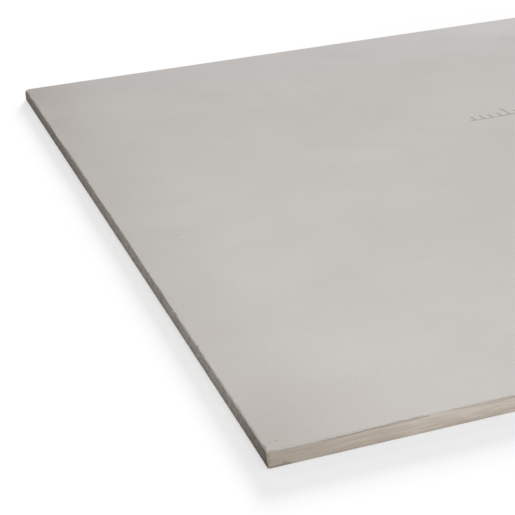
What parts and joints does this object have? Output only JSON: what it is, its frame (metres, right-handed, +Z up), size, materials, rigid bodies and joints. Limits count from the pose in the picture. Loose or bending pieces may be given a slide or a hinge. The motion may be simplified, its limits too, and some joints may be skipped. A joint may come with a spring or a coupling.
{
  "type": "cement board",
  "caption": "Flat rectangular cement board with square-cut, slightly eased edges; screwed to framing as a moisture-proof backing for tiles or render.",
  "frame": {"origin": "middle of the back face, on the floor that the sheet lies on", "axes": "+X along the length, +Y along the width, +Z up out of the tile face"},
  "size_m": [1.2, 0.9, 0.0125],
  "materials": {
    "cement": "matte"
  },
  "bodies": {
    "root": {"cement_board": "cement"}
  },
  "joints": []
}
